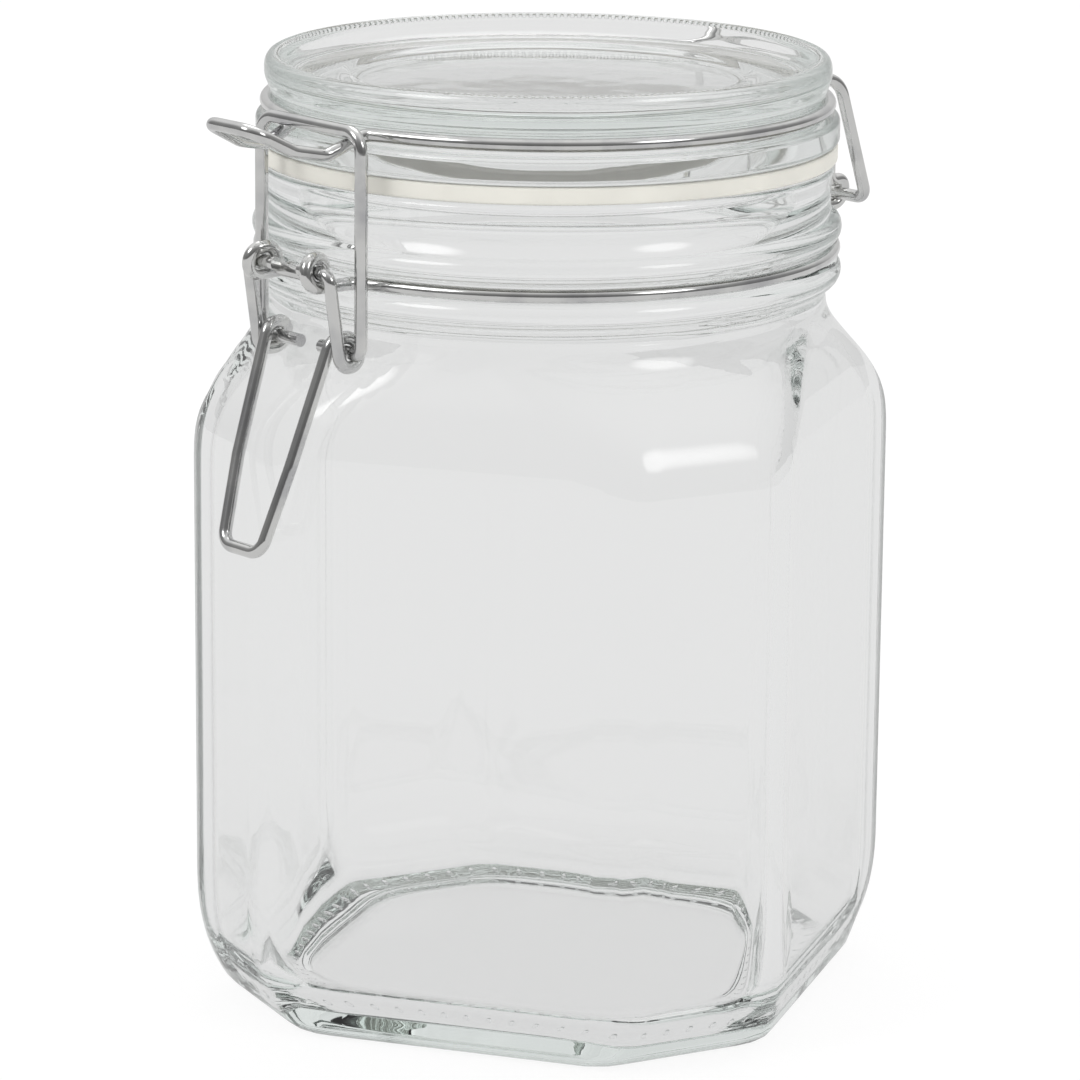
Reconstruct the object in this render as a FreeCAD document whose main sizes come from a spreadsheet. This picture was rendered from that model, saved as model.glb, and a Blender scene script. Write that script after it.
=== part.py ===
import FreeCAD, Part
import Sketcher
import math
import os
import re

# Clip-top preserving jar of about one litre, in millimetres.
# The jar stands on z = 0 around the Z axis. The clamp is at -Y and the hinge at +Y.

SIZES = [
    # glass body: half sizes, to the four wide faces and to the four narrow corner faces
    ("body_flat", 55.0, "axis to a wide face"),
    ("body_corner", 62.9, "axis to a corner face"),
    ("body_edge", 5.0, "radius of the upright edges"),
    ("base_flat", 50.4, "axis to a wide face at the heel"),
    ("base_corner", 55.2, "axis to a corner face at the heel"),
    ("base_edge", 9.0, "radius of the upright edges at the heel"),
    ("base_round", 2.6, "rounding where the heel meets the table"),
    ("heel_height", 24.0, "height at which the heel is as wide as the body"),
    ("heel_power", 2.4, "how late the heel curve straightens"),
    ("heel_lead", 6.0, "wall above the heel, up to the straight wall"),
    ("shoulder_lead", 4.0, "wall below the shoulder, down to the straight wall"),
    ("shoulder_rise", 29.5, "height of the shoulder, up to the neck"),
    ("shoulder_power", 1.5, "how late the shoulder turns in"),
    ("body_turn", 14.6, "clamp's angle past the middle of its corner face"),
    ("wall", 3.6, "glass of the body"),
    ("heel_wall", 4.4, "glass of the heel"),
    ("floor_thickness", 7.0, "table to the floor inside"),
    ("floor_round", 8.0, "rounding between the floor and the wall inside"),
    ("push_up", 2.6, "height of the hollow under the base"),
    ("bearing_width", 8.5, "width of the ring that the jar stands on"),
    ("push_up_slope", 3.5, "how far the hollow's side leans in"),
    # neck and mouth
    ("neck_height", 24.5, "shoulder's end to the top of the rim"),
    ("neck_wall", 5.8, "glass below the lower bead"),
    ("neck_step", 0.05, "mould line where the shoulder meets the neck"),
    ("groove_wall", 5.9, "glass in the wire groove"),
    ("bead_round", 2.6, "section radius of both beads"),
    ("bead_offset", 3.8, "wire ring to the middle of each bead"),
    ("ring_drop", 15.5, "neck wire ring below the top of the rim"),
    ("collar_wall", 6.5, "glass above the upper bead"),
    ("lip_wall", 6.9, "glass of the rim that carries the gasket"),
    ("lip_height", 3.4, "height of the rim"),
    ("lip_round", 1.4, "edges of the rim"),
    ("mouth_radius", 44.0, "bore of the mouth"),
    ("jar_height", 152.0, "top of the rim"),
    # gasket and lid
    ("seal_gap", 0.05, "gasket above the rim, so that the lid lifts off freely"),
    ("gasket_thickness", 3.2, "rubber ring"),
    ("gasket_overhang", 0.6, "gasket past the rim"),
    ("gasket_inset", 1.1, "gasket past the mouth, inwards"),
    ("gasket_round", 0.5, "edges of the rubber ring"),
    ("plug_gap", 0.5, "lid's centring lip inside the gasket"),
    ("plug_depth", 4.3, "centring lip below the flange"),
    ("plug_width", 2.8, "thickness of the centring lip"),
    ("plug_round", 1.0, "edges of the centring lip"),
    ("flange_overhang", 0.9, "lid flange past the rim"),
    ("flange_thickness", 4.85, "lid flange"),
    ("flange_round", 1.1, "edges of the flange"),
    ("lid_groove_depth", 3.15, "lid's wire groove, in from the flange"),
    ("lid_ring_lift", 2.0, "lid wire ring above the flange"),
    ("waist_depth", 2.3, "lid above its groove, in from the flange"),
    ("rim_depth", 1.55, "lid's raised rim, in from the flange"),
    ("rim_lift", 4.5, "lid wire ring to where the raised rim is widest"),
    ("rim_band", 2.0, "upright part of the raised rim"),
    ("rim_round", 2.1, "rounding of the rim's top"),
    ("rim_crown", 1.8, "height of the rim's top rounding"),
    ("crest_depth", 3.6, "inner edge of the rim's top, in from the flange"),
    ("crest_drop", 0.6, "inner edge below the rim's top"),
    ("recess_inset", 7.0, "floor of the lid's recess, in from the flange"),
    ("recess_depth", 3.6, "floor of the recess below the rim's top"),
    ("dish_inset", 16.6, "round step in the recess, in from the flange"),
    ("dish_depth", 0.8, "depth of that step"),
    ("dish_slope", 0.8, "how far that step leans in"),
    ("disc_thickness", 4.8, "glass in the middle of the lid"),
    ("hollow_slope", 1.8, "how far the lid's underside closes in"),
    ("hollow_round", 2.5, "rounding at the top of the lid's underside"),
    # wires
    ("wire_diameter", 2.3, "all four wires"),
    ("wire_gap", 0.15, "between wires that turn on each other"),
    ("seat_gap", 0.1, "between a wire ring and its groove"),
    ("bend_radius", 1.6, "tightest bend of a wire's centre line"),
    ("pivot_reach", 7.75, "front eyes, out from the neck ring"),
    ("eye_side", 6.2, "inner turn of a front eye, from the middle"),
    ("front_leave", 20.0, "angle at which the neck ring leaves its groove"),
    ("link_drop", 1.5, "wire between the front eyes, below the pivot"),
    ("hinge_reach", 14.05, "rear eyes, out from the neck ring"),
    ("hook_side", 6.1, "inner side of a rear hook, from the middle"),
    ("rear_leave", 17.0, "angle at which the neck ring leaves its groove"),
    ("hook_rise", 9.05, "cut end of a rear hook above the hinge"),
    ("arm_side", 15.0, "lid wire's hinge arm, from the middle"),
    ("arm_leave", 22.4, "angle at which the lid ring leaves for the arm"),
    ("arm_reach", 7.6, "top of the hinge arm, out from the lid ring"),
    ("arm_bend", 5.0, "radius of that bend"),
    ("catch_leave", 19.0, "angle at which the lid ring leaves for the catch"),
    ("catch_root", 9.6, "catch where it leaves the lid, from the middle"),
    ("catch_low_reach", 7.1, "lowest point of the catch, out from the lid ring"),
    ("catch_low_side", 8.0, "lowest point, from the middle"),
    ("catch_low_drop", 3.1, "lowest point below the lid ring"),
    ("catch_mid_reach", 13.6, "knee of the catch, out from the lid ring"),
    ("catch_mid_side", 7.2, "knee, from the middle"),
    ("catch_mid_drop", 1.8, "knee below the lid ring"),
    ("catch_tip_reach", 21.6, "tip of the catch, out from the lid ring"),
    ("catch_tip_side", 6.2, "half the width of the tip"),
    ("catch_tip_lift", 2.3, "tip above the lid ring"),
    ("catch_tip_bend", 4.6, "radius of the tip's corners"),
    ("link_reach", 2.85, "lower eyes of the lever, out from the neck ring"),
    ("link_below", 14.0, "lower eyes of the lever below the front eyes"),
    ("knee_lean", 0.2, "share of the shoulder's overhang by which the knee stands further out"),
    ("knee_tuck", 3.2038, "knee of the handle, in from the body's sharp corner and that share"),
    ("knee_below", 33.35, "knee below the front eyes"),
    ("knee_side", 7.2, "knee, from the middle"),
    ("knee_bend", 9.0, "radius of the knee"),
    ("tip_reach", 4.7635, "tip of the handle, out from the body's sharp corner"),
    ("tip_below", 48.05, "tip below the front eyes"),
    ("tip_side", 5.1, "half the width of the tip"),
    ("tip_bend", 4.6, "radius of the tip's corners"),
    ("lever_pin_end", 3.4, "cut end of a lever pin, from the middle"),
    ("bail_reach", 4.0, "bar of the bail, out from the lid ring"),
    ("bail_sink", 1.3, "bar of the bail below one wire above the lid ring"),
    ("bail_bend", 3.6, "radius of the bail's upper corners"),
    ("bail_pin_end", 2.8, "cut end of a bail pin, from the middle"),
]

# Sizes that follow from those above, as expressions.
TIED = {
    "shoulder_end": "jar_height - neck_height",
    "shoulder_bend": "shoulder_end - shoulder_rise",
    "shoulder_start": "shoulder_bend - shoulder_lead",
    "straight_start": "heel_height + heel_lead",
    "body_reach": "sqrt(body_flat ^ 2 + (sqrt(2) * body_corner - body_flat) ^ 2)",
    "ring_height": "jar_height - ring_drop",
    "lip_start": "jar_height - lip_height",
    "neck_radius": "mouth_radius + neck_wall",
    "groove_radius": "mouth_radius + groove_wall",
    "collar_radius": "mouth_radius + collar_wall",
    "lip_radius": "mouth_radius + lip_wall",
    "gasket_radius": "lip_radius + gasket_overhang",
    "gasket_bore": "mouth_radius - gasket_inset",
    "gasket_low": "jar_height + seal_gap",
    "lid_seat": "gasket_low + gasket_thickness",
    "flange_radius": "lip_radius + flange_overhang",
    "flange_top": "lid_seat + flange_thickness",
    "lid_groove_radius": "flange_radius - lid_groove_depth",
    "lid_ring_height": "flange_top + lid_ring_lift",
    "lid_waist_radius": "flange_radius - waist_depth",
    "rim_radius": "flange_radius - rim_depth",
    "rim_low": "lid_ring_height + rim_lift",
    "rim_high": "rim_low + rim_band",
    "lid_top": "rim_high + rim_crown",
    "crest_radius": "flange_radius - crest_depth",
    "recess_radius": "flange_radius - recess_inset",
    "recess_floor": "lid_top - recess_depth",
    "dish_radius": "flange_radius - dish_inset",
    "eye_radius": "wire_diameter + wire_gap",
    "lever_side": "eye_side + 2 * eye_radius",
    "bail_side": "lever_side + eye_radius",
    "neck_ring": "groove_radius + seat_gap + wire_diameter / 2",
    "lid_ring": "lid_groove_radius + seat_gap + wire_diameter / 2",
    "pivot_out": "neck_ring + pivot_reach",
    "pivot_height": "ring_height + eye_radius",
    "hinge_out": "neck_ring + hinge_reach",
    "hook_top": "pivot_height + hook_rise",
    "arm_out": "lid_ring + arm_reach",
    "catch_low_out": "lid_ring + catch_low_reach",
    "catch_low_height": "lid_ring_height - catch_low_drop",
    "catch_mid_out": "lid_ring + catch_mid_reach",
    "catch_mid_height": "lid_ring_height - catch_mid_drop",
    "catch_tip_out": "lid_ring + catch_tip_reach",
    "catch_tip_height": "lid_ring_height + catch_tip_lift",
    "link_out": "neck_ring + link_reach",
    "link_height": "pivot_height - link_below",
    "knee_out": "body_reach + knee_lean * (body_reach - neck_radius) - knee_tuck",
    "knee_height": "pivot_height - knee_below",
    "tip_out": "body_reach + tip_reach",
    "tip_height": "pivot_height - tip_below",
    "bail_out": "lid_ring + bail_reach",
    "bail_height": "lid_ring_height + wire_diameter - bail_sink",
}

# Fractions of a blend at which the glass gets a section, and the steps of the two roundings.
HEEL_STEPS = [0.25, 0.5, 0.75, 1.0]
SHOULDER_STEPS = [0.0, 0.12, 0.25, 0.38, 0.5, 0.62, 0.74, 0.86, 0.96]
ROUNDING_STEPS = [0.0, 0.1, 0.3, 0.6, 1.0]
ROUND_END = 0.985

doc = FreeCAD.newDocument("preserving_jar")
sheet = doc.addObject("Spreadsheet::Sheet", "Sizes")
for row, (alias, amount, note) in enumerate(SIZES, start=1):
    sheet.set(f"A{row}", alias)
    sheet.set(f"B{row}", str(amount))
    sheet.set(f"C{row}", note)
    sheet.setAlias(f"B{row}", alias)
doc.recompute()
ALIASES = {alias for alias, amount, note in SIZES}


def linked(text):
    """The text as a FreeCAD expression: a tied size is spelled out, and a named size points to its cell."""
    def cell(found):
        word = found.group()
        if word in TIED:
            return f"({linked(TIED[word])})"
        return "Sizes." + word if word in ALIASES else word
    return re.sub(r"[a-z_]+", cell, text)


def amount_of(text):
    return float(sheet.evalExpression(linked(text)))


def bind(sketch, constraint, text):
    """Adds a dimension to a sketch and ties it to the sheet."""
    index = sketch.addConstraint(constraint)
    sketch.setExpression(f"Constraints[{index}]", linked(text))


def new_body(label):
    body = doc.addObject("PartDesign::Body", label)
    body.Label = label
    return body


def origin_plane(body, role):
    return next(item for item in body.Origin.OriginFeatures if item.Role == role)


def new_sketch(body, name, role):
    sketch = body.newObject("Sketcher::SketchObject", name)
    sketch.AttachmentSupport = [(origin_plane(body, role), "")]
    sketch.MapMode = "FlatFace"
    return sketch


def arc_between(start, end, radius):
    """An arc from start to end, whose centre is on the left of the way for a positive radius."""
    middle = (start + end) * 0.5
    along = end - start
    half = along.Length / 2
    left = FreeCAD.Vector(-along.y, along.x, 0).normalize()
    rise = math.sqrt(max(radius * radius - half * half, 0))
    centre = middle + left * math.copysign(rise, radius)
    first, last = (start, end) if radius > 0 else (end, start)
    angles = [math.atan2(point.y - centre.y, point.x - centre.x) for point in (first, last)]
    circle = Part.Circle(centre, FreeCAD.Vector(0, 0, 1), abs(radius))
    return Part.ArcOfCircle(circle, angles[0], angles[1])


def profile(body, name, corners):
    """A closed outline in the XZ plane. A corner is (x, z), or (x, z, radius) where an arc leads to it."""
    sketch = new_sketch(body, name, "XZ_Plane")
    points = [FreeCAD.Vector(amount_of(c[0]), amount_of(c[1]), 0) for c in corners]
    ends = []
    for index, corner in enumerate(corners):
        start, end = points[index - 1], points[index]
        if len(corner) == 2:
            piece = sketch.addGeometry(Part.LineSegment(start, end), False)
            ends.append((piece, 1, 2))
            continue
        radius = amount_of(corner[2])
        piece = sketch.addGeometry(arc_between(start, end, radius), False)
        ends.append((piece, 1, 2) if radius > 0 else (piece, 2, 1))
    for index, corner in enumerate(corners):
        piece, first, last = ends[index]
        after, after_first, after_last = ends[(index + 1) % len(corners)]
        sketch.addConstraint(Sketcher.Constraint("Coincident", piece, last, after, after_first))
        point = points[index]
        if point.x == 0:
            sketch.addConstraint(Sketcher.Constraint("PointOnObject", piece, last, -2))
        else:
            bind(sketch, Sketcher.Constraint("DistanceX", -1, 1, piece, last, point.x), corner[0])
        bind(sketch, Sketcher.Constraint("DistanceY", -1, 1, piece, last, point.y), corner[1])
        if len(corner) == 3:
            size = abs(amount_of(corner[2]))
            bind(sketch, Sketcher.Constraint("Radius", piece, size), f"abs({corner[2]})")
    return sketch


def turned(body, kind, sketch):
    feature = body.newObject(kind, sketch.Name.replace("_outline", ""))
    feature.Profile = sketch
    feature.ReferenceAxis = (sketch, ["V_Axis"])
    feature.Angle = 360
    sketch.Visibility = False
    return feature


def body_section(body, name, height, flat, corner, edge):
    """A level section of the glass body: eight sides, wide and narrow in turn, with eight arcs between."""
    sketch = new_sketch(body, name, "XY_Plane")
    turn = FreeCAD.Rotation(FreeCAD.Vector(0, 0, -1), amount_of("body_turn"))
    sketch.AttachmentOffset = FreeCAD.Placement(FreeCAD.Vector(0, 0, amount_of(height)), turn)
    sketch.setExpression(".AttachmentOffset.Base.z", linked(height))
    sketch.setExpression(".AttachmentOffset.Rotation.Angle", linked("body_turn"))
    radius = amount_of(edge)
    sides = [corner, flat] * 4
    normals = [FreeCAD.Vector(math.cos(a), math.sin(a), 0) for a in (math.pi / 4 * i for i in range(9))]
    reach = [amount_of(side) - radius for side in sides] + [amount_of(corner) - radius]
    centres = []
    for i in range(8):
        one, other = normals[i], normals[i + 1]
        across = one.x * other.y - one.y * other.x
        x = (reach[i] * other.y - reach[i + 1] * one.y) / across
        y = (one.x * reach[i + 1] - other.x * reach[i]) / across
        centres.append(FreeCAD.Vector(x, y, 0))
    lines, arcs = [], []
    for i in range(8):
        start = centres[i - 1] + normals[i] * radius
        end = centres[i] + normals[i] * radius
        lines.append(sketch.addGeometry(Part.LineSegment(start, end), False))
        circle = Part.Circle(centres[i], FreeCAD.Vector(0, 0, 1), radius)
        arc = Part.ArcOfCircle(circle, math.pi / 4 * i, math.pi / 4 * (i + 1))
        arcs.append(sketch.addGeometry(arc, False))
    for i in range(8):
        sketch.addConstraint(Sketcher.Constraint("Tangent", lines[i], 2, arcs[i], 1))
        sketch.addConstraint(Sketcher.Constraint("Tangent", arcs[i], 2, lines[(i + 1) % 8], 1))
    for i in (0, 4):
        sketch.addConstraint(Sketcher.Constraint("Vertical", lines[i]))
        sketch.addConstraint(Sketcher.Constraint("Horizontal", lines[i + 2]))
    sketch.addConstraint(Sketcher.Constraint("Angle", lines[1], math.radians(135)))
    sketch.addConstraint(Sketcher.Constraint("Perpendicular", lines[1], lines[3]))
    sketch.addConstraint(Sketcher.Constraint("Parallel", lines[1], lines[5]))
    sketch.addConstraint(Sketcher.Constraint("Parallel", lines[3], lines[7]))
    for i in range(7):
        sketch.addConstraint(Sketcher.Constraint("Equal", arcs[0], arcs[i + 1]))
    for line, side in zip(lines, sides):
        bind(sketch, Sketcher.Constraint("Distance", -1, 1, line, amount_of(side)), side)
    bind(sketch, Sketcher.Constraint("Radius", arcs[0], radius), edge)
    sketch.Visibility = False
    return sketch


def lofted(body, kind, name, sections):
    """A loft through level sections, each given as height, flat, corner and edge."""
    sketches = [body_section(body, f"{name}_{i}", *texts) for i, texts in enumerate(sections)]
    feature = body.newObject(kind, name)
    feature.Profile = sketches[0]
    feature.Sections = sketches[1:]
    return feature


def heel_blend(height):
    """How far the heel has opened from the base to the body, from 0 to 1."""
    share = f"(1 - min(1; ({height}) / heel_height))"
    return f"(1 - {share} ^ heel_power)"


def outer_heel(height, rounding):
    """The heel's outside at a height. rounding is how far the table rounding cuts in."""
    blend = heel_blend(height)
    return (
        height,
        f"base_flat + (body_flat - base_flat) * {blend} - {rounding}",
        f"base_corner + (body_corner - base_corner) * {blend} - {rounding}",
        f"base_edge + (body_edge - base_edge) * {blend}",
    )


def inner_heel(height, rounding):
    """The inside of the heel at a height."""
    blend = heel_blend(height)
    wall_here = f"(heel_wall + (wall - heel_wall) * {blend})"
    return (
        height,
        f"base_flat + (body_flat - base_flat) * {blend} - {wall_here} - {rounding}",
        f"base_corner + (body_corner - base_corner) * {blend} - {wall_here} - {rounding}",
        f"base_edge + (body_edge - base_edge) * {blend} + wall / 2",
    )


def rounding_at(step, radius):
    """How far a quarter-round cuts in at a share of its height."""
    return f"{radius} * (1 - sqrt(1 - (1 - {step}) ^ 2))"


def shoulder(step, flat, corner, edge, end):
    """The shoulder at a share of its height, on the way to a round section of radius end."""
    open_share = f"((1 + cos(180 * {step} ^ shoulder_power)) / 2)"
    return (
        f"shoulder_bend + (shoulder_end - shoulder_bend) * {step}",
        f"{end} + ({flat} - {end}) * {open_share}",
        f"{end} + ({corner} - {end}) * {open_share}",
        f"{end} * {ROUND_END} + ({edge} - {end} * {ROUND_END}) * {open_share}",
    )


def jar_glass():
    """The glass jar: heel, straight wall and shoulder by lofts, a turned neck, then the hollows."""
    body = new_body("jar_glass")
    straight = ("body_flat", "body_corner", "body_edge")
    heel = [outer_heel(f"base_round * {s}", rounding_at(s, "base_round")) for s in ROUNDING_STEPS[:-1]]
    heel += [outer_heel(f"heel_height * {s}", "0") for s in HEEL_STEPS]
    heel.append(("straight_start", *straight))
    lofted(body, "PartDesign::AdditiveLoft", "heel", heel)

    wall_sketch = body_section(body, "straight_wall_outline", "straight_start", *straight)
    wall_pad = body.newObject("PartDesign::Pad", "straight_wall")
    wall_pad.Profile = wall_sketch
    wall_pad.setExpression("Length", linked("shoulder_start - straight_start"))

    top = [("shoulder_start", *straight)]
    top += [shoulder(s, *straight, "(neck_radius + neck_step)") for s in SHOULDER_STEPS]
    top.append(shoulder(1.0, *straight, "(neck_radius + neck_step)"))
    lofted(body, "PartDesign::AdditiveLoft", "shoulder", top)

    low_bead = "ring_height - bead_offset"
    high_bead = "ring_height + bead_offset"
    collar_foot = f"{high_bead} + sqrt(bead_round ^ 2 - (collar_radius - groove_radius) ^ 2)"
    neck = profile(body, "neck_outline", [
        ("0", "shoulder_end"),
        ("neck_radius", "shoulder_end"),
        ("groove_radius", f"{low_bead} - bead_round"),
        ("groove_radius", f"{low_bead} + bead_round", "bead_round"),
        ("groove_radius", f"{high_bead} - bead_round"),
        ("collar_radius", collar_foot, "bead_round"),
        ("collar_radius", "lip_start"),
        ("lip_radius", "lip_start + lip_round"),
        ("lip_radius", "jar_height - lip_round"),
        ("lip_radius - lip_round", "jar_height", "lip_round"),
        ("mouth_radius + lip_round", "jar_height"),
        ("mouth_radius", "jar_height - lip_round", "lip_round"),
        ("0", "jar_height - lip_round"),
    ])
    turned(body, "PartDesign::Revolution", neck)

    floor = [
        inner_heel(f"floor_thickness + floor_round * {s}", rounding_at(s, "floor_round"))
        for s in ROUNDING_STEPS
    ]
    inside = ("body_flat - wall", "body_corner - wall", "body_edge + wall / 2")
    floor.append(inner_heel("heel_height", "0"))
    floor.append(("straight_start", *inside))
    floor.append(("(straight_start + shoulder_start) / 2", *inside))
    floor.append(("shoulder_start", *inside))
    floor += [shoulder(s, *inside, "(mouth_radius + neck_step)") for s in SHOULDER_STEPS]
    floor.append(shoulder(1.0, *inside, "(mouth_radius + neck_step)"))
    lofted(body, "PartDesign::SubtractiveLoft", "hollow", floor)

    bore = profile(body, "mouth_outline", [
        ("0", "shoulder_end"),
        ("mouth_radius", "shoulder_end"),
        ("mouth_radius", "jar_height - lip_round"),
        ("0", "jar_height - lip_round"),
    ])
    turned(body, "PartDesign::Groove", bore)

    hollow_side = ("base_flat - bearing_width", "base_corner - bearing_width", "base_edge * 2")
    leaned = tuple(f"{text} - push_up_slope" for text in hollow_side[:2]) + (hollow_side[2],)
    under = [("0", *hollow_side), ("push_up", *leaned)]
    body.Tip = lofted(body, "PartDesign::SubtractiveLoft", "push_up_hollow", under)
    return body


def gasket():
    """The flat rubber ring between the rim and the lid."""
    body = new_body("gasket")
    outline = profile(body, "gasket_outline", [
        ("gasket_bore", "gasket_low"),
        ("gasket_radius - gasket_round", "gasket_low"),
        ("gasket_radius", "gasket_low + gasket_round", "gasket_round"),
        ("gasket_radius", "lid_seat - gasket_round"),
        ("gasket_radius - gasket_round", "lid_seat", "gasket_round"),
        ("gasket_bore", "lid_seat"),
    ])
    body.Tip = turned(body, "PartDesign::Revolution", outline)
    return body


def lid_glass():
    """The pressed lid: centring lip, flange, wire groove, raised rim and recessed top."""
    body = new_body("lid_glass")
    plug = "gasket_bore - plug_gap"
    inner = f"{plug} - plug_width"
    ceiling = "recess_floor - dish_depth - disc_thickness"
    groove_high = "lid_ring_height + wire_diameter / 2 + seat_gap"
    outline = profile(body, "lid_outline", [
        ("0", ceiling),
        (f"{inner} - hollow_slope - hollow_round", ceiling),
        (f"{inner} - hollow_slope", f"{ceiling} - hollow_round", "-hollow_round"),
        (inner, "lid_seat - plug_depth + plug_round"),
        (f"{inner} + plug_round", "lid_seat - plug_depth", "plug_round"),
        (f"{plug} - plug_round", "lid_seat - plug_depth"),
        (plug, "lid_seat - plug_depth + plug_round", "plug_round"),
        (plug, "lid_seat"),
        ("flange_radius - flange_round", "lid_seat"),
        ("flange_radius", "lid_seat + flange_round", "flange_round"),
        ("flange_radius", "flange_top - flange_round"),
        ("flange_radius - flange_round", "flange_top", "flange_round"),
        ("lid_groove_radius", "flange_top + seat_gap"),
        ("lid_groove_radius", groove_high),
        ("lid_waist_radius", f"{groove_high} + lid_waist_radius - lid_groove_radius"),
        ("rim_radius", "rim_low"),
        ("rim_radius", "rim_high"),
        ("crest_radius + rim_round / 3", "lid_top", "rim_round"),
        ("crest_radius", "lid_top - crest_drop"),
        ("recess_radius", "recess_floor"),
        ("dish_radius", "recess_floor"),
        ("dish_radius - dish_slope", "recess_floor - dish_depth"),
        ("0", "recess_floor - dish_depth"),
    ])
    body.Tip = turned(body, "PartDesign::Revolution", outline)
    return body


def bent(corners):
    """Straight runs joined by tangent arcs. A corner is (point, bend radius); the ends have none."""
    edges = []
    reached = corners[0][0]
    for before, (corner, radius), after in zip(corners, corners[1:], corners[2:]):
        arriving = corner - before[0]
        leaving = after[0] - corner
        turn = arriving.getAngle(leaving)
        room = min(arriving.Length, leaving.Length) * 0.495
        cut = min(radius * math.tan(turn / 2), room)
        radius = cut / math.tan(turn / 2)
        arriving.normalize()
        leaving.normalize()
        start = corner - arriving * cut
        end = corner + leaving * cut
        to_centre = (leaving - arriving).normalize()
        middle = corner + to_centre * (radius / math.cos(turn / 2) - radius)
        edges.append(Part.LineSegment(reached, start).toShape())
        edges.append(Part.Arc(start, middle, end).toShape())
        reached = end
    edges.append(Part.LineSegment(reached, corners[-1][0]).toShape())
    return edges


def on_ring(radius, angle, height):
    """A point of a wire ring, at an angle in degrees from the clamp towards +X."""
    turn = math.radians(angle)
    return FreeCAD.Vector(radius * math.sin(turn), -radius * math.cos(turn), height)


def off_ring(radius, angle, side, height):
    """Where the straight that leaves a ring at this angle is at a distance side from the middle."""
    start = on_ring(radius, angle, height)
    turn = math.radians(angle)
    along = FreeCAD.Vector(-math.cos(turn), -math.sin(turn), 0) * math.copysign(1, math.cos(turn))
    return start + along * ((start.x - side) / abs(math.cos(turn)))


def ring_arc(radius, first, last, height):
    points = [on_ring(radius, angle, height) for angle in (first, (first + last) / 2, last)]
    return Part.Arc(*points).toShape()


def wire_piece(label, edges):
    """A wire as a sweep of its +X half along the edges, mirrored and joined in the middle."""
    route = doc.addObject("Part::Feature", f"{label}_route")
    route.Shape = Part.Wire(edges)
    section = doc.addObject("Part::Circle", f"{label}_section")
    section.setExpression("Radius", linked("wire_diameter / 2"))
    start = edges[0].Vertexes[0].Point
    along = FreeCAD.Rotation(FreeCAD.Vector(0, 0, 1), edges[0].tangentAt(edges[0].FirstParameter))
    section.Placement = FreeCAD.Placement(start, along)
    half = doc.addObject("Part::Sweep", f"{label}_half")
    half.Sections = [section]
    half.Spine = (route, [f"Edge{n}" for n in range(1, len(edges) + 1)])
    half.Solid = True
    other = doc.addObject("Part::Mirroring", f"{label}_other_half")
    other.Source = half
    other.Normal = (1, 0, 0)
    whole = doc.addObject("Part::Fuse", label)
    whole.Base = half
    whole.Tool = other
    whole.Label = label
    for item in (route, section, half, other):
        item.Visibility = False
    return whole


def vector(x, out, height):
    """A point of a wire: from the middle, out from the axis towards the clamp, and up."""
    return FreeCAD.Vector(x, -out, height)


def neck_wire(at):
    """The ring round the neck, with an eye for the lever at the front and a hook at the rear."""
    bend, eye = at["bend_radius"], at["eye_radius"]
    ring, low = at["neck_ring"], at["ring_height"]
    out, side = at["pivot_out"], at["eye_side"]
    step = eye / 3
    outer_side = side + 3 * step
    front = [
        (vector(0, out - eye, low + eye - at["link_drop"]), 0),
        (vector(side, out - eye, low + eye - at["link_drop"]), bend),
        (vector(side + step / 2, out - eye, low + 2 * eye), eye),
        (vector(side + 1.5 * step, out + eye, low + 2 * eye), eye),
        (vector(side + 2.5 * step, out + eye, low), eye),
        (off_ring(ring, at["front_leave"], outer_side, low), bend * 1.5),
        (on_ring(ring, at["front_leave"], low), 0),
    ]
    hinge, hook = at["hinge_out"], at["hook_side"]
    rear_angle = 180 - at["rear_leave"]
    rear = [
        (on_ring(ring, rear_angle, low), 0),
        (off_ring(ring, rear_angle, hook, low), bend * 1.5),
        (vector(hook, -hinge - eye, low), eye),
        (vector(hook + step, -hinge - eye, low + 2 * eye), eye),
        (vector(hook + 2 * step, -hinge + eye, low + 2 * eye), bend),
        (vector(hook + 2 * step, -hinge + eye, at["hook_top"]), 0),
    ]
    middle = ring_arc(ring, at["front_leave"], rear_angle, low)
    return wire_piece("neck_wire", bent(front) + [middle] + bent(rear))


def lid_wire(at):
    """The ring round the lid, with the catch at the front and the hinge bar at the rear."""
    bend = at["bend_radius"]
    ring, high = at["lid_ring"], at["lid_ring_height"]
    tip = at["catch_tip_height"]
    front = [
        (vector(0, at["catch_tip_out"], tip), 0),
        (vector(at["catch_tip_side"], at["catch_tip_out"], tip), at["catch_tip_bend"]),
        (vector(at["catch_mid_side"], at["catch_mid_out"], at["catch_mid_height"]), bend * 3),
        (vector(at["catch_low_side"], at["catch_low_out"], at["catch_low_height"]), bend * 2),
        (off_ring(ring, at["catch_leave"], at["catch_root"], high), bend * 1.5),
        (on_ring(ring, at["catch_leave"], high), 0),
    ]
    arm, rear_angle = at["arm_side"], 180 - at["arm_leave"]
    rear = [
        (on_ring(ring, rear_angle, high), 0),
        (off_ring(ring, rear_angle, arm, high), bend * 1.5),
        (vector(arm, -at["arm_out"], high), at["arm_bend"]),
        (vector(arm, -at["hinge_out"], at["pivot_height"]), bend * 1.5),
        (vector(0, -at["hinge_out"], at["pivot_height"]), 0),
    ]
    middle = ring_arc(ring, at["catch_leave"], rear_angle, high)
    return wire_piece("lid_wire", bent(front) + [middle] + bent(rear))


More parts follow.
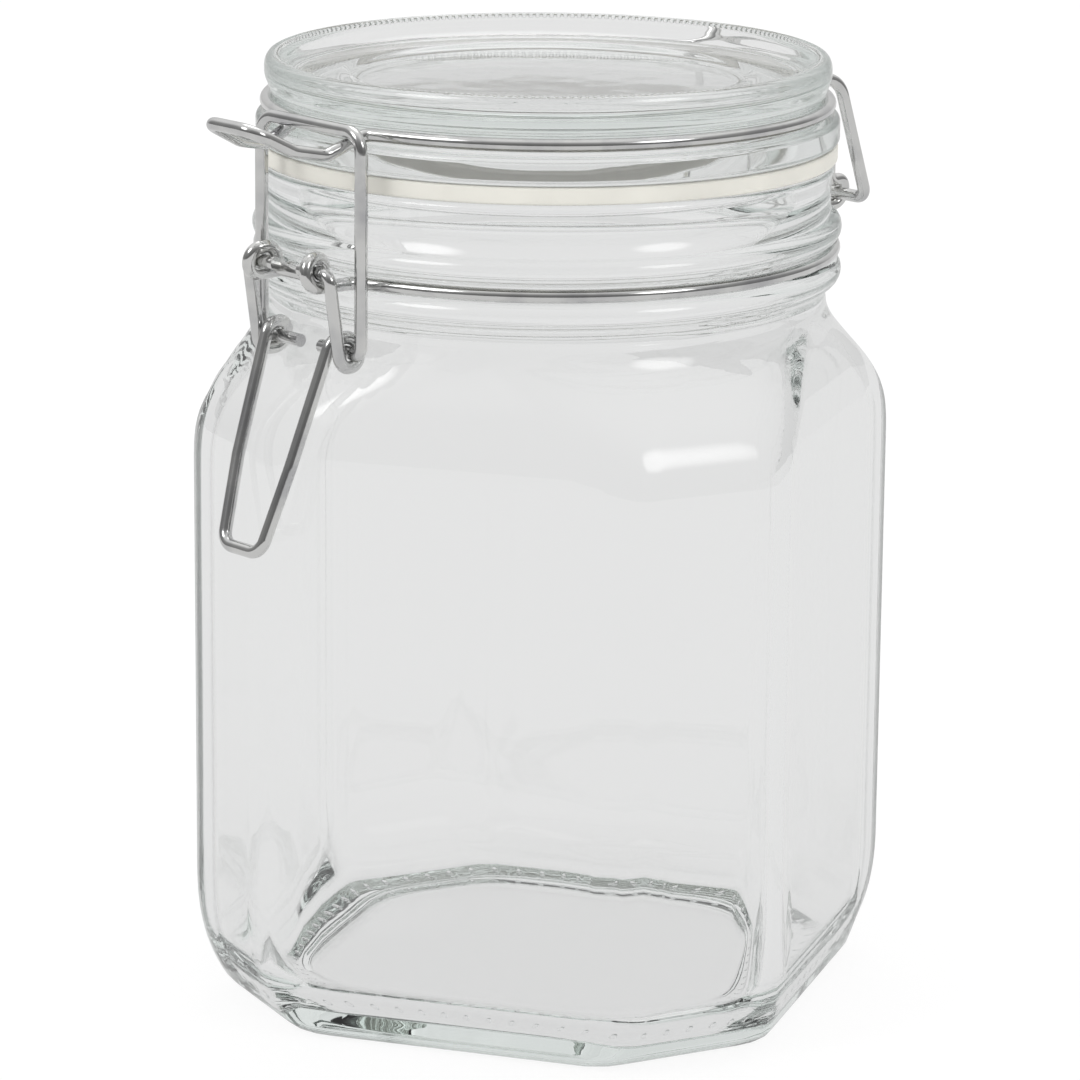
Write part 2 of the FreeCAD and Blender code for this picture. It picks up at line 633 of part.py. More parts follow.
def lever_wire(at):
    """The handle: pins in the neck wire's eyes, arms, a full turn for the bail, then the grip."""
    eye, step = at["eye_radius"], at["eye_radius"] / 3
    arm, grip = at["lever_side"], at["lever_side"] - eye
    out, height = at["link_out"], at["link_height"]
    corners = [
        (vector(0, at["tip_out"], at["tip_height"]), 0),
        (vector(at["tip_side"], at["tip_out"], at["tip_height"]), at["tip_bend"]),
        (vector(at["knee_side"], at["knee_out"], at["knee_height"]), at["knee_bend"]),
        (vector(grip, out + eye, height + eye), eye),
        (vector(grip + step, out - eye, height + eye), eye),
        (vector(grip + 2 * step, out - eye, height - eye), eye),
        (vector(arm, out + eye, height - eye), eye),
        (vector(arm, at["pivot_out"], at["pivot_height"]), at["bend_radius"]),
        (vector(at["lever_pin_end"], at["pivot_out"], at["pivot_height"]), 0),
    ]
    return wire_piece("lever", bent(corners))


def bail_wire(at):
    """The link between the lever and the catch: a bar, two legs and two pins turned in."""
    side = at["bail_side"]
    corners = [
        (vector(0, at["bail_out"], at["bail_height"]), 0),
        (vector(side, at["bail_out"], at["bail_height"]), at["bail_bend"]),
        (vector(side, at["link_out"], at["link_height"]), at["bend_radius"]),
        (vector(at["bail_pin_end"], at["link_out"], at["link_height"]), 0),
    ]
    return wire_piece("bail", bent(corners))


def check(piece):
    """Stops the build if a sub-part's shape isn't one sound solid."""
    shape = piece.Shape
    if shape.isNull() or not shape.isValid() or len(shape.Solids) != 1:
        raise RuntimeError(f"{piece.Label}: not one valid solid")


def main():
    at = {name: amount_of(name) for name in [*sorted(ALIASES), *TIED]}
    pieces = [jar_glass(), gasket(), lid_glass()]
    pieces += [neck_wire(at), lid_wire(at), lever_wire(at), bail_wire(at)]
    doc.recompute()
    for item in doc.Objects:
        if "Invalid" in item.State or "Error" in item.State:
            raise RuntimeError(f"{item.Label}: {item.State}")
    for piece in pieces:
        check(piece)
    os.makedirs("parts", exist_ok=True)
    for piece in pieces:
        piece.Shape.exportStep(f"parts/{piece.Label}.step")
        print(piece.Label, round(piece.Shape.Volume), "mm3")


main()
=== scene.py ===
import bmesh
import bpy
import math
from mathutils import Matrix


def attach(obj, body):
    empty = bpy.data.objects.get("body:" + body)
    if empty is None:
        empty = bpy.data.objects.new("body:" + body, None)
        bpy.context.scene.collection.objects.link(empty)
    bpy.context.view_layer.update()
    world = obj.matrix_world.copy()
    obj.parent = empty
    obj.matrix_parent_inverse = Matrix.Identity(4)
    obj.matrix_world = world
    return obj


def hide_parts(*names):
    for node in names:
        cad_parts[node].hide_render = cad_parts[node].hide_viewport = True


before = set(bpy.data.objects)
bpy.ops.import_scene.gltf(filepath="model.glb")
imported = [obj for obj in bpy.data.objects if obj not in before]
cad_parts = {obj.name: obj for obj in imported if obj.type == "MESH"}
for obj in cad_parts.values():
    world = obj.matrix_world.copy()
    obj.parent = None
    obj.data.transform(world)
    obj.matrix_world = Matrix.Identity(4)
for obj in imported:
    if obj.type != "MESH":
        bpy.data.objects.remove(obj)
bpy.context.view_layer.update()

mm = 0.001
print("frame loaded")


def deselectAll():
    if bpy.context.mode != "OBJECT":
        bpy.ops.object.mode_set(mode="OBJECT")
    bpy.ops.object.select_all(action="DESELECT")


# the finishes of glass, rubber and zinc-plated wire
finish = {
    "glassIor": 1.5,
    "glassTint": (0.80, 0.90, 0.86, 1),      # faint green of thick clear glass
    "glassDensity": 5,                       # per metre
    "glassRipple": 0.00004,                  # depth of the moulded surface's slow waves, metres
    "glassRippleScale": 38,
    "lidRipple": 0.00006,
    "lidRippleScale": 90,
    "lidRoughness": 0.03,                    # the pressed lid is a little duller than the blown jar
    "sealColour": (0.85, 0.835, 0.765, 1),
    "sealShade": 0.92,                       # darker patches of the rubber
    "sealPatches": 90, "sealGrain": 900, "sealGrainDepth": 0.00003,
    "sealRoughness": 0.5, "sealGloss": 0.4,
    "wireColour": (0.70, 0.70, 0.69, 1),
    "wireDark": (0.50, 0.50, 0.51, 1),       # drawn streaks in the plating
    "wireSmooth": 0.08,
    "wireRough": 0.18,
    "wireStreaks": 120, "wireGrain": 700, "wireGrainDepth": 0.000006,
}


def newMaterial(name):
    material = bpy.data.materials.new(name)
    material.use_nodes = True
    shader = material.node_tree.nodes["Principled BSDF"]
    return material, material.node_tree, shader


def objectNoise(tree, scale, detail, stretch=(1, 1, 1)):
    where = tree.nodes.new("ShaderNodeTexCoord")
    place = tree.nodes.new("ShaderNodeMapping")
    place.inputs["Scale"].default_value = stretch
    noise = tree.nodes.new("ShaderNodeTexNoise")
    noise.inputs["Scale"].default_value = scale
    noise.inputs["Detail"].default_value = detail
    tree.links.new(where.outputs["Object"], place.inputs["Vector"])
    tree.links.new(place.outputs["Vector"], noise.inputs["Vector"])
    return noise


def bumped(tree, shader, noise, depth):
    bump = tree.nodes.new("ShaderNodeBump")
    bump.inputs["Distance"].default_value = depth
    tree.links.new(noise.outputs["Fac"], bump.inputs["Height"])
    tree.links.new(bump.outputs["Normal"], shader.inputs["Normal"])


def noiseColour(tree, shader, noise, dark, pale, low, high):
    ramp = tree.nodes.new("ShaderNodeValToRGB")
    ramp.color_ramp.elements[0].position = low
    ramp.color_ramp.elements[1].position = high
    ramp.color_ramp.elements[0].color = dark
    ramp.color_ramp.elements[1].color = pale
    tree.links.new(noise.outputs["Fac"], ramp.inputs["Fac"])
    tree.links.new(ramp.outputs["Color"], shader.inputs["Base Color"])


def clearGlass(name, roughness, rippleScale, ripple):
    material, tree, shader = newMaterial(name)
    shader.inputs["Base Color"].default_value = (1, 1, 1, 1)
    shader.inputs["Roughness"].default_value = roughness
    shader.inputs["IOR"].default_value = finish["glassIor"]
    shader.inputs["Transmission Weight"].default_value = 1
    bumped(tree, shader, objectNoise(tree, rippleScale, 1), ripple)
    body = tree.nodes.new("ShaderNodeVolumeAbsorption")
    body.inputs["Color"].default_value = finish["glassTint"]
    body.inputs["Density"].default_value = finish["glassDensity"]
    tree.links.new(body.outputs["Volume"], tree.nodes["Material Output"].inputs["Volume"])
    return material


def sealRubber():
    material, tree, shader = newMaterial("sealRubber")
    pale = finish["sealColour"]
    dark = tuple(part * finish["sealShade"] for part in pale[:3]) + (1,)
    noiseColour(tree, shader, objectNoise(tree, finish["sealPatches"], 3), dark, pale, 0.3, 0.75)
    shader.inputs["Roughness"].default_value = finish["sealRoughness"]
    shader.inputs["Specular IOR Level"].default_value = finish["sealGloss"]
    bumped(tree, shader, objectNoise(tree, finish["sealGrain"], 2), finish["sealGrainDepth"])
    return material


def zincWire():
    material, tree, shader = newMaterial("zincWire")
    shader.inputs["Metallic"].default_value = 1
    streak = objectNoise(tree, finish["wireStreaks"], 3)
    noiseColour(tree, shader, streak, finish["wireDark"], finish["wireColour"], 0.25, 0.55)
    rough = tree.nodes.new("ShaderNodeMapRange")
    rough.inputs["To Min"].default_value = finish["wireRough"]
    rough.inputs["To Max"].default_value = finish["wireSmooth"]
    tree.links.new(streak.outputs["Fac"], rough.inputs["Value"])
    tree.links.new(rough.outputs["Result"], shader.inputs["Roughness"])
    bumped(tree, shader, objectNoise(tree, finish["wireGrain"], 2), finish["wireGrainDepth"])
    return material


jarFinish = clearGlass("jarGlass", 0, finish["glassRippleScale"], finish["glassRipple"])
lidFinish = clearGlass("lidGlass", finish["lidRoughness"], finish["lidRippleScale"],
                       finish["lidRipple"])
rubber = sealRubber()
zinc = zincWire()
print("finishes ready")


# shells are drawn out ring by ring from a circle, as on a lathe
def turnAngles():    # close together where the upright edges are
    part = [0, 3, 6, 8.5, 10.5, 11.5, 12, 12.5, 13, 13.5, 14, 14.5, 15, 15.75, 16.75, 18]
    part += [20, 22.5, 25.5, 29, 33, 37, 41]
    quarter = part + [45] + [90 - a for a in reversed(part[1:])]
    return [math.radians(a + 90 * k) for k in range(4) for a in quarter]


def roundRing(height, radius):
    return height, lambda angle: radius


def octagonRing(height, flat, corner, edge, turn):
    # a level outline with four wide and four narrow faces and rounded upright edges
    reach = [corner - edge, flat - edge]
    normals = [i * math.pi / 4 for i in range(8)]
    centres = []
    for i in range(8):
        one, other = reach[i % 2], reach[(i + 1) % 2]
        a, b = normals[i], normals[i] + math.pi / 4
        across = math.sin(b - a)
        centres.append(((one * math.sin(b) - other * math.sin(a)) / across,
                        (other * math.cos(a) - one * math.cos(b)) / across))

    def radiusAt(angle):
        local = (angle + turn) % (2 * math.pi)
        i = int(local // (math.pi / 4)) % 8
        ux, uy = math.cos(local), math.sin(local)
        cx, cy = centres[i]
        along = ux * cx + uy * cy
        miss = cx * cx + cy * cy - along * along
        best = along + math.sqrt(max(edge * edge - miss, 0))
        touch = math.atan2(uy * best - cy, ux * best - cx) % (2 * math.pi)
        start = normals[i]
        if miss < edge * edge and start - 1e-9 <= touch <= start + math.pi / 4 + 1e-9:
            return best
        near = 0 if (touch < start if abs(touch - start) < math.pi else touch > math.pi) else 1
        side = (i + near) % 8
        distance = (reach[side % 2] + edge)
        return distance / math.cos(local - normals[side] if side or near == 0 else local - 2 * math.pi)
    return height, radiusAt


def shapeRing(piece, ring, angles=None):
    height, radiusAt = ring
    mesh = bmesh.from_edit_mesh(piece.data)
    chosen = [vert for vert in mesh.verts if vert.select]
    if angles:
        chosen.sort(key=lambda vert: math.atan2(vert.co.y, vert.co.x) % (2 * math.pi))
    for n, vert in enumerate(chosen):
        angle = angles[n] if angles else math.atan2(vert.co.y, vert.co.x)
        radius = radiusAt(angle)
        vert.co = (radius * math.cos(angle), radius * math.sin(angle), height)
    bmesh.update_edit_mesh(piece.data)


def ringShell(name, rings, angles, closed=False):
    # the ends are filled, or joined to each other if closed
    deselectAll()
    bpy.ops.mesh.primitive_circle_add(vertices=len(angles), radius=1, fill_type="NOTHING")
    piece = bpy.context.active_object
    piece.name = name
    piece.data.name = name
    bpy.ops.object.mode_set(mode="EDIT")
    bpy.ops.mesh.select_all(action="SELECT")
    shapeRing(piece, rings[0], angles)
    for ring in rings[1:]:
        bpy.ops.mesh.extrude_region_move()
        shapeRing(piece, ring)
    bpy.ops.mesh.select_all(action="DESELECT")
    bpy.ops.mesh.select_non_manifold()
    if closed:
        bpy.ops.mesh.bridge_edge_loops()
    else:
        bpy.ops.mesh.fill_holes(sides=0)
    bpy.ops.mesh.select_all(action="SELECT")
    bpy.ops.mesh.normals_make_consistent(inside=False)
    bpy.ops.object.mode_set(mode="OBJECT")
    bpy.ops.object.shade_smooth()
    return piece


def arcRings(steps, centre, radius, first, last):
    # a quarter or half round of the profile, its angles from outwards towards up
    out, height = centre
    turns = [math.radians(first + (last - first) * n / steps) for n in range(steps + 1)]
    return [roundRing(height + radius * math.sin(t), out + radius * math.cos(t)) for t in turns]


# the jar, in millimetres
jar = {
    "flat": 55.0, "corner": 62.9, "edge": 5.0,
    "baseFlat": 50.4, "baseCorner": 55.2, "baseEdge": 9.0, "baseRound": 2.6,
    "heelHeight": 24.0, "heelPower": 2.4,
    "shoulderStart": 98.0, "shoulderEnd": 127.5, "shoulderPower": 1.5,
    "turn": 14.6, "wall": 3.6, "heelWall": 3.4, "floor": 4.6, "floorRound": 9.0,
    "innerEdge": 13.0,                       # inside, the upright edges are rounder
    "pushUp": 1.8, "bearing": 8.5, "pushUpSlope": 3.5,
    "neck": 49.8, "neckStep": 0.05, "groove": 49.9, "bead": 2.6, "beadOffset": 3.8,
    "ringHeight": 136.5,
    "collar": 50.5, "lip": 50.9, "lipStart": 148.6, "lipRound": 1.4, "mouth": 44.0, "height": 152.0,
    "shoulderTuck": 0.985,                   # the shoulder's edges end almost as round as the neck
    # heights at which the walls are drawn, and how far out the rings of floor and hollow lie
    "innerHeights": (15, 16, 17, 18, 19, 20, 21, 22, 23, 24, 28, 40, 60, 80, 92, 96),
    "outerHeights": (96, 92, 80, 60, 40, 28, 24, 23, 22, 20.5, 19, 17.5, 16, 14.5, 13,
                     11.5, 10, 8.5, 7, 6, 5, 4, 3.3),
    "mouthHeights": (127.6, 130, 136, 142, 147, 150),
    "floorShares": (0.04, 0.3, 0.6, 0.85, 0.96), "hollowShares": (0.9, 0.6, 0.3, 0.04),
}


def jarRing(height, flat, corner, edge):
    return octagonRing(height * mm, flat * mm, corner * mm, edge * mm, math.radians(jar["turn"]))


def heelRing(height, inset=0, inside=False):
    share = 1 - (1 - min(1, height / jar["heelHeight"])) ** jar["heelPower"]
    flat = jar["baseFlat"] + (jar["flat"] - jar["baseFlat"]) * share
    corner = jar["baseCorner"] + (jar["corner"] - jar["baseCorner"]) * share
    edge = jar["baseEdge"] + (jar["edge"] - jar["baseEdge"]) * share
    if inside:
        wall = jar["heelWall"] + (jar["wall"] - jar["heelWall"]) * share
        edge = max(jar["innerEdge"], edge + jar["wall"] / 2)
        return jarRing(height, flat - wall - inset, corner - wall - inset, edge)
    return jarRing(height, flat - inset, corner - inset, edge)


def shoulderRing(share, inside=False):
    wall = jar["wall"] if inside else 0
    end = (jar["mouth"] if inside else jar["neck"]) + jar["neckStep"]
    openShare = (1 + math.cos(math.pi * share ** jar["shoulderPower"])) / 2
    height = jar["shoulderStart"] + (jar["shoulderEnd"] - jar["shoulderStart"]) * share
    flat = end + (jar["flat"] - wall - end) * openShare
    corner = end + (jar["corner"] - wall - end) * openShare
    edge = jar["innerEdge"] if inside else jar["edge"]
    tucked = end * jar["shoulderTuck"]
    return jarRing(height, flat, corner, tucked + (edge - tucked) * openShare)


def quarterInset(share, radius):
    return radius * (1 - math.sqrt(1 - (1 - share) ** 2))


def jarRings():
    rings = []
    for scale in jar["floorShares"]:
        height, radiusAt = heelRing(jar["floor"], jar["floorRound"], True)
        rings.append((height, lambda angle, s=scale, r=radiusAt: r(angle) * s))
    steps = [1 - math.cos(math.pi / 2 * n / 12) for n in range(13)]
    for s in steps:
        inset = quarterInset(s, jar["floorRound"])
        rings.append(heelRing(jar["floor"] + jar["floorRound"] * s, inset, True))
    rings += [heelRing(h, 0, True) for h in jar["innerHeights"]]
    rings += [shoulderRing(n / 24, True) for n in range(25)]
    rings += [roundRing(h * mm, jar["mouth"] * mm) for h in jar["mouthHeights"]]
    lipTop = jar["height"] - jar["lipRound"]
    r = jar["lipRound"]
    rings += arcRings(8, ((jar["mouth"] + r) * mm, lipTop * mm), r * mm, 180, 90)
    rings += arcRings(8, ((jar["lip"] - r) * mm, lipTop * mm), r * mm, 90, 0)
    rings.append(roundRing((jar["lipStart"] + r) * mm, jar["lip"] * mm))
    rings.append(roundRing(jar["lipStart"] * mm, jar["collar"] * mm))
    highBead = jar["ringHeight"] + jar["beadOffset"]
    lowBead = jar["ringHeight"] - jar["beadOffset"]
    step = math.degrees(math.acos((jar["collar"] - jar["groove"]) / jar["bead"]))
    rings += arcRings(14, (jar["groove"] * mm, highBead * mm), jar["bead"] * mm, step, -90)
    rings += arcRings(16, (jar["groove"] * mm, lowBead * mm), jar["bead"] * mm, 90, -90)
    rings += [roundRing(jar["mouthHeights"][0] * mm, jar["neck"] * mm)]
    rings += [shoulderRing(n / 28) for n in range(28, -1, -1)]
    rings += [heelRing(h) for h in jar["outerHeights"]]
    base = [1 - math.cos(math.pi / 2 * n / 10) for n in range(10, -1, -1)]
    rings += [heelRing(jar["baseRound"] * s, quarterInset(s, jar["baseRound"])) for s in base]
    flat, corner = jar["baseFlat"] - jar["bearing"], jar["baseCorner"] - jar["bearing"]
    edge = jar["baseEdge"] * 2
    for n in range(7):    # an S-shaped slope up to the hollow
        rise = (1 - math.cos(math.pi * n / 6)) / 2
        lean = jar["pushUpSlope"] * n / 6
        rings.append(jarRing(jar["pushUp"] * rise, flat - lean, corner - lean, edge))
    height, radiusAt = rings[-1]
    for scale in jar["hollowShares"]:
        rings.append((height, lambda angle, s=scale, r=radiusAt: r(angle) * s))
    return rings


body = ringShell("jarGlass", jarRings(), turnAngles())
body.data.materials.append(jarFinish)
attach(body, "jar")
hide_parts("jar_glass")


def scattered(name, size, places):
    # one small rounded lump, copied to each place and turned to point out from the axis
    deselectAll()
    bpy.ops.mesh.primitive_uv_sphere_add(segments=10, ring_count=6, radius=1)
    lump = bpy.context.active_object
    lump.data.transform(Matrix.Diagonal((*size, 1)))
    bpy.ops.object.shade_smooth()
    copies = []
    for x, y, z, turn in places:
        copy = lump.copy()
        copy.data = lump.data.copy()
        copy.data.transform(Matrix.Translation((x, y, z)) @ Matrix.Rotation(turn, 4, "Z"))
        bpy.context.collection.objects.link(copy)
        copies.append(copy)
    deselectAll()
    lump.select_set(True)
    bpy.ops.object.delete()
    for copy in copies:
        copy.select_set(True)
    bpy.context.view_layer.objects.active = copies[0]
    bpy.ops.object.join()
    piece = bpy.context.active_object
    piece.name = name
    piece.data.name = name
    return piece


# the knurled ring that the jar stands on
knurl = {"inset": 5.6, "pitch": 4.3, "length": 3.4, "width": 1.1, "depth": 0.5, "lift": 0.36,
         "spread": 1.04}                     # the ring's length against a circle's


def knurlPlaces():
    flat, corner = jar["baseFlat"] - knurl["inset"], jar["baseCorner"] - knurl["inset"]
    height, radiusAt = jarRing(knurl["lift"], flat, corner, jar["baseEdge"] * 1.5)
    count = round(2 * math.pi * flat * knurl["spread"] / knurl["pitch"])
    places = []
    for n in range(count):
        angle = 2 * math.pi * n / count
        r = radiusAt(angle)
        places.append((r * math.cos(angle), r * math.sin(angle), height, angle))
    return places


knurlSize = (knurl["length"] / 2 * mm, knurl["width"] / 2 * mm, knurl["depth"] * mm)
knurls = scattered("baseKnurls", knurlSize, knurlPlaces())
knurls.data.materials.append(jarFinish)
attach(knurls, "jar")
print("jar made")


# the lid and its seal, in millimetres
lid = {
    "seat": 155.25, "plugOuter": 42.4, "plugDepth": 4.3, "plugWidth": 2.8, "plugRound": 1.0,
    "plugStep": 0.1, "seatMiddle": 46, "flange": 51.8, "flangeTop": 160.1, "flangeRound": 1.1,
    "ceiling": 161.2, "ceilingRings": (1.5, 12, 24, 32), "hollowSlope": 1.8, "hollowRound": 2.5,
    # outlines as (radius, height): the wire's groove, the rim, and the top in to the middle
    "groove": [(49.4, 160.13), (48.9, 160.3), (48.65, 160.8), (48.65, 162.6), (48.8, 163.2),
               (49.15, 163.75), (49.45, 164.15)],
    "rim": [(49.5, 164.6), (49.75, 165.4), (50.1, 166.3), (50.25, 167.0), (50.25, 168.2),
            (50.15, 169.0), (49.9, 169.65), (49.5, 170.15), (49.05, 170.38), (48.75, 170.32)],
    "top": [(48.4, 170.0), (48.1, 169.65), (47.0, 168.7), (46.0, 167.75), (45.3, 167.15),
            (44.6, 166.85), (43.5, 166.8), (40, 166.8), (36.8, 166.8), (35.8, 166.75),
            (35.0, 166.5), (34.2, 166.2), (33.4, 166.04), (32.5, 166.0), (24, 166.0),
            (12, 166.0), (1.5, 166.0)],
}
seal = {"low": 152.09, "high": 155.19, "outer": 51.5, "bore": 42.9, "round": 0.5}


def profileRings(points):
    return [roundRing(z * mm, r * mm) for r, z in points]


def lidRings():
    inner = lid["plugOuter"] - lid["plugWidth"]
    low = lid["seat"] - lid["plugDepth"]
    top = inner - lid["hollowSlope"]
    rings = profileRings([(r, lid["ceiling"]) for r in lid["ceilingRings"]])
    r = lid["hollowRound"]
    rings += arcRings(8, ((top - r) * mm, (lid["ceiling"] - r) * mm), r * mm, 90, 0)
    rings += profileRings([((top + inner) / 2, (lid["ceiling"] + low) / 2 - 1)])
    r = lid["plugRound"]
    rings += arcRings(6, ((inner + r) * mm, (low + r) * mm), r * mm, 180, 270)
    rings += arcRings(6, ((lid["plugOuter"] - r) * mm, (low + r) * mm), r * mm, -90, 0)
    plug = lid["plugOuter"]
    step, seat = lid["plugStep"], lid["seat"]
    rings += profileRings([(plug, seat - step), (plug + step, seat), (lid["seatMiddle"], seat)])
    r = lid["flangeRound"]
    rings += arcRings(8, ((lid["flange"] - r) * mm, (lid["seat"] + r) * mm), r * mm, -90, 0)
    rings += arcRings(8, ((lid["flange"] - r) * mm, (lid["flangeTop"] - r) * mm), r * mm, 0, 90)
    return rings + profileRings(lid["groove"] + lid["rim"] + lid["top"])


def sealRings():
    r = seal["round"] * mm
    low, high = seal["low"] * mm, seal["high"] * mm
    outer, bore = seal["outer"] * mm, seal["bore"] * mm
    rings = [roundRing(low, bore + r), roundRing(low, (bore + outer) / 2)]
    rings += arcRings(4, (outer - r, low + r), r, -90, 0)
    rings += arcRings(4, (outer - r, high - r), r, 0, 90)
    rings += [roundRing(high, (bore + outer) / 2)]
    rings += arcRings(4, (bore + r, high - r), r, 90, 180)
    rings += arcRings(4, (bore + r, low + r), r, 180, 269)
    return rings


evenAngles = [2 * math.pi * n / 256 for n in range(256)]
lidPiece = ringShell("lidGlass", lidRings(), evenAngles)
lidPiece.data.materials.append(lidFinish)
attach(lidPiece, "lid")
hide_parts("lid_glass")
sealPiece = ringShell("sealRing", sealRings(), evenAngles, closed=True)
sealPiece.data.materials.append(rubber)
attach(sealPiece, "lid")
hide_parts("gasket")

# the ring of fine dots on the lid's crest
stipple = {"count": 235, "radius": 48.2, "height": 169.9, "size": 0.5, "depth": 0.4}


def stipplePlaces():
    places = []
    for n in range(stipple["count"]):
        angle = 2 * math.pi * n / stipple["count"]
        x, y = stipple["radius"] * math.cos(angle), stipple["radius"] * math.sin(angle)
        places.append((x * mm, y * mm, stipple["height"] * mm, angle))
    return places


dotSize = (stipple["size"] * mm, stipple["size"] * mm, stipple["depth"] * mm)
dots = scattered("lidStipple", dotSize, stipplePlaces())
dots.data.materials.append(lidFinish)
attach(dots, "lid")
print("lid and seal made")


# wires keep their shape and get the zinc finish
for node in ("neck_wire", "lid_wire", "lever", "bail"):
    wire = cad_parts[node]
    wire.data.materials.clear()
    wire.data.materials.append(zinc)
print("wires finished")


# floor, light and camera
studio = {
    "floorSize": 6.0, "floorShare": 0.86,      # the rest of the floor is lit, and keeps the shadow
    "floorSeen": 1.05, "floorInGlass": 0.76, "floorInWire": 0.72,
    "roomInGlass": (0.68, 0.76), "roomInWire": (0.58, 0.92), "roomLight": 0.84,
    "darkSide": 0.75,                          # how far the room darkens behind the camera
    "darkFlanks": 0.62,                        # and at its two sides, as wires mirror it
    # soft lights of the room: turn from the camera, height, half width, all in degrees, and strength
    "softLights": [(-58, 42, 15, 5.0), (52, 34, 13, 4.0), (170, 62, 24, 1.6)],
    "cameraTurn": 48.5,
    "aimTurn": 48.548, "distance": 0.8911, "eyeHeight": 0.3050, "pitch": 14.087, "roll": 0.5,
    "lens": 169.1, "bounces": 32, "glossyBounces": 28,
}


def mathNode(tree, operation, first, second=None):
    node = tree.nodes.new("ShaderNodeMath")
    node.operation = operation
    for socket, value in zip(node.inputs, (first, second)):
        if isinstance(value, (int, float)):
            socket.default_value = value
        elif value is not None:
            tree.links.new(value, socket)
    return node.outputs[0]


def ranged(tree, value, low, high, first, last, soft=True):
    node = tree.nodes.new("ShaderNodeMapRange")
    node.interpolation_type = "SMOOTHSTEP" if soft else "LINEAR"
    node.inputs["From Min"].default_value = low
    node.inputs["From Max"].default_value = high
    node.inputs["To Min"].default_value = first
    node.inputs["To Max"].default_value = last
    tree.links.new(value, node.inputs["Value"])
    return node.outputs["Result"]


def chosen(tree, when, first, second):
    # second where the ray is of the kind given, otherwise first
    keep = mathNode(tree, "SUBTRACT", 1.0, when)
    one = mathNode(tree, "MULTIPLY", keep, first)
    other = mathNode(tree, "MULTIPLY", when, second)
    return mathNode(tree, "ADD", one, other)


def floorMaterial():
    material, tree, shader = newMaterial("floorWhite")
    shader.inputs["Base Color"].default_value = (0.8, 0.8, 0.8, 1)
    shader.inputs["Roughness"].default_value = 0.9
    kind = tree.nodes.new("ShaderNodeLightPath")
    seen = mathNode(tree, "MAXIMUM", kind.outputs["Is Camera Ray"], kind.outputs["Is Glossy Ray"])
    seen = mathNode(tree, "MAXIMUM", seen, kind.outputs["Is Transmission Ray"])
    share = mathNode(tree, "MULTIPLY", seen, studio["floorShare"])
    level = chosen(tree, kind.outputs["Is Glossy Ray"], studio["floorSeen"], studio["floorInWire"])
    level = chosen(tree, kind.outputs["Is Transmission Ray"], level, studio["floorInGlass"])
    glow = tree.nodes.new("ShaderNodeEmission")
    mix = tree.nodes.new("ShaderNodeMixShader")
    tree.links.new(level, glow.inputs["Strength"])
    tree.links.new(share, mix.inputs["Fac"])
    tree.links.new(shader.outputs["BSDF"], mix.inputs[1])
    tree.links.new(glow.outputs["Emission"], mix.inputs[2])
    tree.links.new(mix.outputs["Shader"], tree.nodes["Material Output"].inputs["Surface"])
    return material


def towards(turn, height):
    # a direction in the room, from its turn from the camera and its height, in degrees
    a, h = math.radians(studio["cameraTurn"] + turn), math.radians(height)
    return (math.sin(a) * math.cos(h), -math.cos(a) * math.cos(h), math.sin(h))


def facing(tree, way, direction):
    dot = tree.nodes.new("ShaderNodeVectorMath")
    dot.operation = "DOT_PRODUCT"
    dot.inputs[1].default_value = direction
    tree.links.new(way, dot.inputs[0])
    return dot.outputs["Value"]


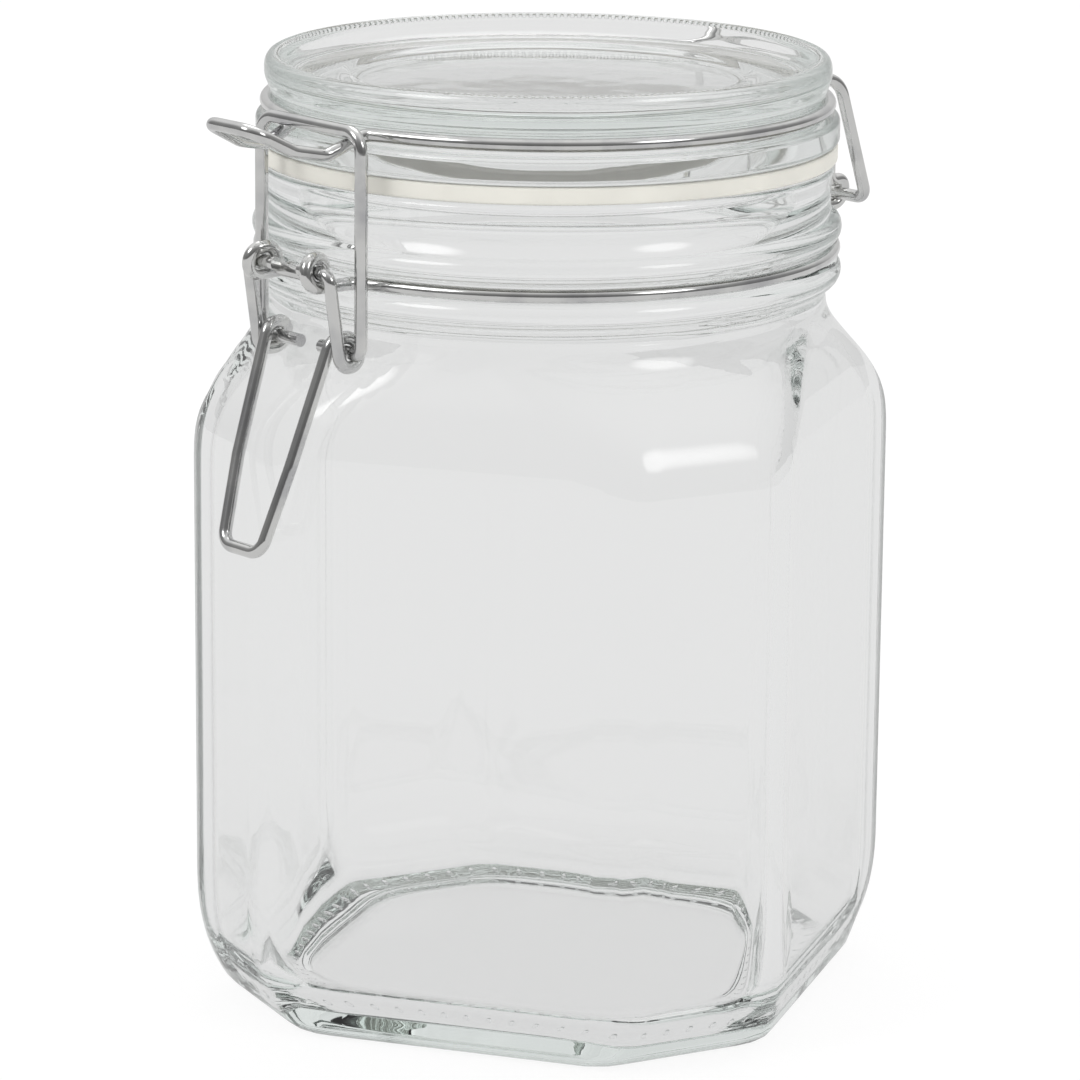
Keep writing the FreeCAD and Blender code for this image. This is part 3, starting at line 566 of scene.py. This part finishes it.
def roomWorld():
    world = bpy.data.worlds.new("studioRoom")
    bpy.context.scene.world = world
    world.use_nodes = True
    tree = world.node_tree
    way = tree.nodes.new("ShaderNodeTexCoord").outputs["Generated"]
    kind = tree.nodes.new("ShaderNodeLightPath")
    up = facing(tree, way, (0, 0, 1))
    inWire = ranged(tree, up, -0.1, 0.75, *studio["roomInWire"])
    inGlass = ranged(tree, up, -0.1, 0.75, *studio["roomInGlass"])
    behind = ranged(tree, facing(tree, way, towards(0, 0)), 0.1, 0.95, 1.0, 1 - studio["darkSide"])
    inWire = mathNode(tree, "MULTIPLY", inWire, behind)
    flank = mathNode(tree, "ABSOLUTE", facing(tree, way, towards(90, 0)))
    flank = ranged(tree, flank, 0.55, 0.9, 1.0, 1 - studio["darkFlanks"])
    inWire = mathNode(tree, "MULTIPLY", inWire, flank)
    lights = None
    for turn, height, half, strength in studio["softLights"]:
        near = facing(tree, way, towards(turn, height))
        edge, middle = math.cos(math.radians(half)), math.cos(math.radians(half * 0.35))
        light = ranged(tree, near, edge, middle, 0, strength)
        lights = light if lights is None else mathNode(tree, "ADD", lights, light)
    inWire = mathNode(tree, "ADD", inWire, lights)
    inGlass = mathNode(tree, "ADD", inGlass, mathNode(tree, "MULTIPLY", lights, 0.12))
    lit = mathNode(tree, "ADD", lights, studio["roomLight"])
    level = chosen(tree, kind.outputs["Is Glossy Ray"], lit, inWire)
    level = chosen(tree, kind.outputs["Is Transmission Ray"], level, inGlass)
    level = chosen(tree, kind.outputs["Is Camera Ray"], level, 1.0)
    tree.links.new(level, tree.nodes["Background"].inputs["Strength"])
    tree.nodes["Background"].inputs["Color"].default_value = (1, 1, 1, 1)


deselectAll()
bpy.ops.mesh.primitive_plane_add(size=studio["floorSize"], location=(0, 0, -0.0002))
floor = bpy.context.active_object
floor.name = "floor"
floor.data.materials.append(floorMaterial())
roomWorld()

deselectAll()
bpy.ops.object.camera_add()
camera = bpy.context.active_object
camera.data.lens = studio["lens"]
camera.data.sensor_width = 36
camera.data.clip_start = 0.05
camera.data.clip_end = 30
turn = math.radians(studio["cameraTurn"])
place = (studio["distance"] * math.sin(turn), -studio["distance"] * math.cos(turn), studio["eyeHeight"])
aim = Matrix.Rotation(math.radians(studio["aimTurn"]), 4, "Z")
aim = aim @ Matrix.Rotation(math.radians(90 - studio["pitch"]), 4, "X")
aim = aim @ Matrix.Rotation(math.radians(studio["roll"]), 4, "Z")
camera.matrix_world = Matrix.Translation(place) @ aim
bpy.context.scene.camera = camera
bpy.context.scene.view_settings.view_transform = "Standard"
paths = bpy.context.scene.cycles                # light finds its way out of thick glass edges
paths.max_bounces = paths.transmission_bounces = studio["bounces"]
paths.glossy_bounces = studio["glossyBounces"]
print("studio ready")
